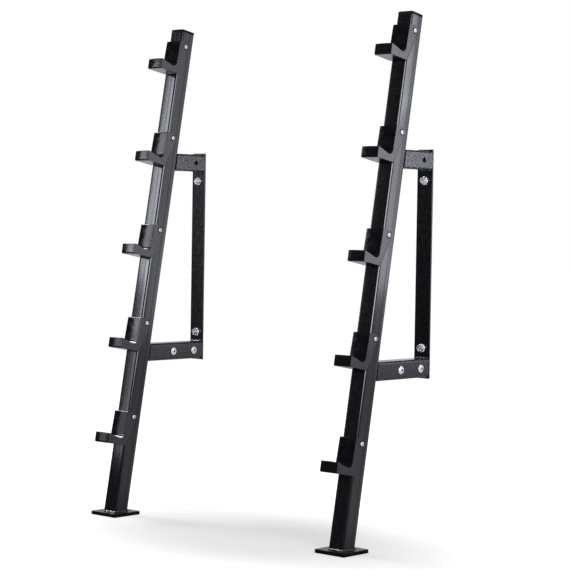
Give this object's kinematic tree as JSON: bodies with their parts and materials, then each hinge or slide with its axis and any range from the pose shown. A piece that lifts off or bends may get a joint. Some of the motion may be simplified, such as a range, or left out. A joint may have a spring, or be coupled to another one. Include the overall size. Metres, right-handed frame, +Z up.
{
  "type": "barbell storage rack",
  "caption": "Wall-fixed barbell storage rack of leaning square-tube uprights with moulded J hooks, each held off the wall by a bracket of level arms and an upright plate.",
  "frame": {"origin": "where the floor meets the wall, midway between the two uprights; the rear faces of the wall plates lie in the wall plane y = 0", "axes": "+Z up, +Y into the wall, +X to the right as one stands in front of the rack and faces the wall"},
  "size_m": [1.133, 0.4822, 1.6757],
  "materials": {
    "powder_coat": "fine-textured black powder coat",
    "hook_plastic": "smooth black moulded plastic, glossy on the leg and lip, fine-grained on the cheeks",
    "cap_plastic": "matt black moulded plastic",
    "zinc_plate": "bright zinc plate"
  },
  "bodies": {
    "root": {"right_upright_tube": "powder_coat", "right_end_cap": "cap_plastic", "right_hook_1": "hook_plastic", "right_hook_bolt_1": "zinc_plate", "right_hook_nut_1": "zinc_plate", "right_hook_2": "hook_plastic", "right_hook_bolt_2": "zinc_plate", "right_hook_nut_2": "zinc_plate", "right_hook_3": "hook_plastic", "right_hook_bolt_3": "zinc_plate", "right_hook_nut_3": "zinc_plate", "right_hook_4": "hook_plastic", "right_hook_bolt_4": "zinc_plate", "right_hook_nut_4": "zinc_plate", "right_hook_5": "hook_plastic", "right_hook_bolt_5": "zinc_plate", "right_hook_nut_5": "zinc_plate", "right_base_plate": "powder_coat", "right_lower_arm": "powder_coat", "right_upper_arm": "powder_coat", "right_lower_arm_insert": "powder_coat", "right_upper_arm_insert": "powder_coat", "right_wall_plate": "powder_coat", "right_arm_bolt_front": "zinc_plate", "right_arm_bolt_rear": "zinc_plate", "right_wall_bolt_upper": "zinc_plate", "right_wall_washer_upper": "zinc_plate", "right_wall_bolt_lower": "zinc_plate", "right_wall_washer_lower": "zinc_plate", "left_upright_tube": "powder_coat", "left_end_cap": "cap_plastic", "left_hook_1": "hook_plastic", "left_hook_bolt_1": "zinc_plate", "left_hook_nut_1": "zinc_plate", "left_hook_2": "hook_plastic", "left_hook_bolt_2": "zinc_plate", "left_hook_nut_2": "zinc_plate", "left_hook_3": "hook_plastic", "left_hook_bolt_3": "zinc_plate", "left_hook_nut_3": "zinc_plate", "left_hook_4": "hook_plastic", "left_hook_bolt_4": "zinc_plate", "left_hook_nut_4": "zinc_plate", "left_hook_5": "hook_plastic", "left_hook_bolt_5": "zinc_plate", "left_hook_nut_5": "zinc_plate", "left_base_plate": "powder_coat", "left_lower_arm": "powder_coat", "left_upper_arm": "powder_coat", "left_lower_arm_insert": "powder_coat", "left_upper_arm_insert": "powder_coat", "left_wall_plate": "powder_coat", "left_arm_bolt_front": "zinc_plate", "left_arm_bolt_rear": "zinc_plate", "left_wall_bolt_upper": "zinc_plate", "left_wall_washer_upper": "zinc_plate", "left_wall_bolt_lower": "zinc_plate", "left_wall_washer_lower": "zinc_plate"}
  },
  "joints": []
}
